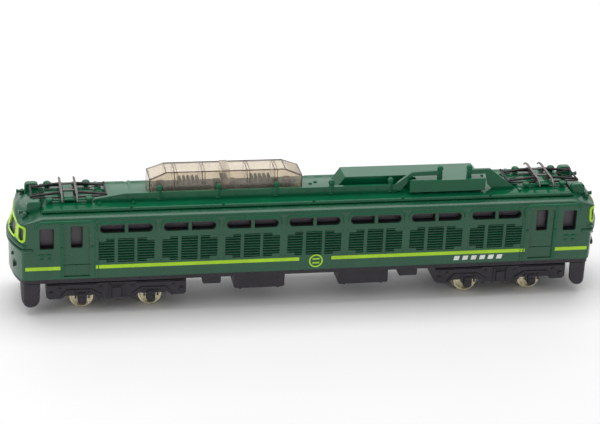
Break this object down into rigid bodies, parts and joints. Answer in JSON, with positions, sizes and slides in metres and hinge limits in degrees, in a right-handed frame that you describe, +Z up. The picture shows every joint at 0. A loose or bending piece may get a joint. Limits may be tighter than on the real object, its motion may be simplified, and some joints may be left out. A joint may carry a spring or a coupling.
{
  "type": "model electric locomotive",
  "caption": "Two-cab model electric locomotive with two bogies, geared rear drive, folding pantographs and a clear roof hood.",
  "frame": {"origin": "under the middle of the locomotive, on the surface that the wheel flanges stand on", "axes": "+X along the body towards the rear cab, +Z up, +Y across"},
  "size_m": [0.2078, 0.0298, 0.048],
  "materials": {
    "green_paint": "glossy dark green enamel on a die-cast shell, with lime trim and a lime waist line",
    "green_plastic": "glossy dark green moulding",
    "smoked_clear": "clear polystyrene with a light smoke-beige tint",
    "black_plastic": "satin black moulding",
    "window_plastic": "satin dark grey moulding",
    "clear_plastic": "clear moulding",
    "steel": "plain bright steel",
    "nickel": "turned and nickel plated, slightly warm",
    "brass": "bright brass",
    "circuit_board": "green solder mask",
    "gear_plastic": "natural acetal",
    "pantograph_metal": "grey paint on thin metal"
  },
  "bodies": {
    "car_body": {"body_shell": "green_paint", "roof_panel": "green_plastic", "bus_bar_front": "green_plastic", "bus_bar_rear": "green_plastic", "roof_box": "green_plastic", "roof_cover": "smoked_clear", "roof_cover_base": "black_plastic", "window_strip_near": "window_plastic", "window_strip_far": "window_plastic", "cab_glazing_front": "window_plastic", "cab_glazing_rear": "window_plastic", "light_guide_front": "clear_plastic", "light_guide_rear": "clear_plastic", "lamp_bulb_front": "clear_plastic", "lamp_bulb_rear": "clear_plastic", "chassis_frame": "black_plastic", "body_screw_front": "steel", "body_screw_rear": "steel", "circuit_board": "circuit_board", "battery_box_front": "black_plastic", "battery_box_rear": "black_plastic", "air_tank_front": "black_plastic", "air_tank_rear": "black_plastic", "end_skirt_front": "black_plastic", "end_skirt_rear": "black_plastic", "bogie_pivot_screw": "steel", "pantograph_base_front": "pantograph_metal", "pantograph_base_rear": "pantograph_metal"},
    "front_bogie": {"bogie_frame_front": "black_plastic"},
    "rear_bogie": {"bogie_frame_rear": "black_plastic", "drive_motor": "steel"},
    "wheelset_1": {"axle_1": "steel", "wheel_1_near": "nickel", "wheel_1_far": "nickel"},
    "wheelset_2": {"axle_2": "steel", "wheel_2_near": "nickel", "wheel_2_far": "nickel"},
    "wheelset_3": {"axle_3": "steel", "wheel_3_near": "nickel", "wheel_3_far": "nickel", "axle_gear_3": "gear_plastic"},
    "wheelset_4": {"axle_4": "steel", "wheel_4_near": "nickel", "wheel_4_far": "nickel", "axle_gear_4": "gear_plastic"},
    "idler_3": {"idler_gear_3": "gear_plastic"},
    "idler_4": {"idler_gear_4": "gear_plastic"},
    "reduction": {"reduction_gear": "gear_plastic"},
    "pinion": {"motor_pinion": "brass"},
    "lower_arm_front_a": {"lower_arm_front_a": "pantograph_metal"},
    "upper_arm_front_a": {"upper_arm_front_a": "pantograph_metal"},
    "lower_arm_front_b": {"lower_arm_front_b": "pantograph_metal"},
    "upper_arm_front_b": {"upper_arm_front_b": "pantograph_metal"},
    "pantograph_head_front": {"pantograph_head_front": "pantograph_metal"},
    "lower_arm_rear_a": {"lower_arm_rear_a": "pantograph_metal"},
    "upper_arm_rear_a": {"upper_arm_rear_a": "pantograph_metal"},
    "lower_arm_rear_b": {"lower_arm_rear_b": "pantograph_metal"},
    "upper_arm_rear_b": {"upper_arm_rear_b": "pantograph_metal"},
    "pantograph_head_rear": {"pantograph_head_rear": "pantograph_metal"}
  },
  "joints": [
    {"name": "front_bogie_swivel", "type": "hinge", "parent": "car_body", "child": "front_bogie", "pos_m": [-0.06805, 0, 0.008], "axis": [0, 0, 1], "range_deg": [-5, 5]},
    {"name": "rear_bogie_swivel", "type": "hinge", "parent": "car_body", "child": "rear_bogie", "pos_m": [0.06805, 0, 0.008], "axis": [0, 0, 1], "range_deg": [-5, 5]},
    {"name": "wheelset_1_spin", "type": "hinge", "parent": "front_bogie", "child": "wheelset_1", "pos_m": [-0.0798, 0, 0.0048], "axis": [0, 1, 0], "continuous": true},
    {"name": "wheelset_2_spin", "type": "hinge", "parent": "front_bogie", "child": "wheelset_2", "pos_m": [-0.0563, 0, 0.0048], "axis": [0, 1, 0], "continuous": true},
    {"name": "wheelset_3_spin", "type": "hinge", "parent": "rear_bogie", "child": "wheelset_3", "pos_m": [0.0563, 0, 0.0048], "axis": [0, 1, 0], "continuous": true},
    {"name": "wheelset_4_spin", "type": "hinge", "parent": "rear_bogie", "child": "wheelset_4", "pos_m": [0.0798, 0, 0.0048], "axis": [0, 1, 0], "continuous": true},
    {"name": "idler_3_spin", "type": "hinge", "parent": "rear_bogie", "child": "idler_3", "pos_m": [0.06205, 0, 0.00783], "axis": [0, 1, 0], "continuous": true},
    {"name": "idler_4_spin", "type": "hinge", "parent": "rear_bogie", "child": "idler_4", "pos_m": [0.07405, 0, 0.00783], "axis": [0, 1, 0], "continuous": true},
    {"name": "reduction_spin", "type": "hinge", "parent": "rear_bogie", "child": "reduction", "pos_m": [0.06805, 0, 0.01033], "axis": [0, 1, 0], "continuous": true},
    {"name": "pinion_spin", "type": "hinge", "parent": "rear_bogie", "child": "pinion", "pos_m": [0.06805, 0, 0.02083], "axis": [0, 1, 0], "continuous": true},
    {"name": "lower_arm_front_a_lift", "type": "hinge", "parent": "car_body", "child": "lower_arm_front_a", "pos_m": [-0.0858, 0, 0.03975], "axis": [0, 1, 0], "range_deg": [0, 54]},
    {"name": "lower_arm_front_b_lift", "type": "hinge", "parent": "car_body", "child": "lower_arm_front_b", "pos_m": [-0.0812, 0, 0.03975], "axis": [0, -1, 0], "range_deg": [0, 54]},
    {"name": "upper_arm_front_a_unfold", "type": "hinge", "parent": "lower_arm_front_a", "child": "upper_arm_front_a", "pos_m": [-0.09611, 0, 0.04027], "axis": [0, -1, 0], "range_deg": [0, 108]},
    {"name": "upper_arm_front_b_unfold", "type": "hinge", "parent": "lower_arm_front_b", "child": "upper_arm_front_b", "pos_m": [-0.07089, 0, 0.04027], "axis": [0, 1, 0], "range_deg": [0, 108]},
    {"name": "pantograph_head_front_level", "type": "hinge", "parent": "upper_arm_front_a", "child": "pantograph_head_front", "pos_m": [-0.0858, 0, 0.0408], "axis": [0, 1, 0], "range_deg": [0, 54]},
    {"name": "lower_arm_rear_a_lift", "type": "hinge", "parent": "car_body", "child": "lower_arm_rear_a", "pos_m": [0.0812, 0, 0.03975], "axis": [0, 1, 0], "range_deg": [0, 54]},
    {"name": "lower_arm_rear_b_lift", "type": "hinge", "parent": "car_body", "child": "lower_arm_rear_b", "pos_m": [0.0858, 0, 0.03975], "axis": [0, -1, 0], "range_deg": [0, 54]},
    {"name": "upper_arm_rear_a_unfold", "type": "hinge", "parent": "lower_arm_rear_a", "child": "upper_arm_rear_a", "pos_m": [0.07089, 0, 0.04027], "axis": [0, -1, 0], "range_deg": [0, 108]},
    {"name": "upper_arm_rear_b_unfold", "type": "hinge", "parent": "lower_arm_rear_b", "child": "upper_arm_rear_b", "pos_m": [0.09611, 0, 0.04027], "axis": [0, 1, 0], "range_deg": [0, 108]},
    {"name": "pantograph_head_rear_level", "type": "hinge", "parent": "upper_arm_rear_a", "child": "pantograph_head_rear", "pos_m": [0.0812, 0, 0.0408], "axis": [0, 1, 0], "range_deg": [0, 54]}
  ],
  "couplings": [
    {"joint": "lower_arm_front_b_lift", "follows": "lower_arm_front_a_lift", "ratio": 1},
    {"joint": "upper_arm_front_a_unfold", "follows": "lower_arm_front_a_lift", "ratio": 2},
    {"joint": "upper_arm_front_b_unfold", "follows": "lower_arm_front_a_lift", "ratio": 2},
    {"joint": "pantograph_head_front_level", "follows": "lower_arm_front_a_lift", "ratio": 1},
    {"joint": "lower_arm_rear_b_lift", "follows": "lower_arm_rear_a_lift", "ratio": 1},
    {"joint": "upper_arm_rear_a_unfold", "follows": "lower_arm_rear_a_lift", "ratio": 2},
    {"joint": "upper_arm_rear_b_unfold", "follows": "lower_arm_rear_a_lift", "ratio": 2},
    {"joint": "pantograph_head_rear_level", "follows": "lower_arm_rear_a_lift", "ratio": 1},
    {"joint": "wheelset_4_spin", "follows": "wheelset_3_spin", "ratio": 1},
    {"joint": "idler_3_spin", "follows": "wheelset_3_spin", "ratio": -0.85714},
    {"joint": "idler_4_spin", "follows": "wheelset_3_spin", "ratio": -0.85714},
    {"joint": "reduction_spin", "follows": "wheelset_3_spin", "ratio": 1},
    {"joint": "pinion_spin", "follows": "wheelset_3_spin", "ratio": -3.2}
  ]
}
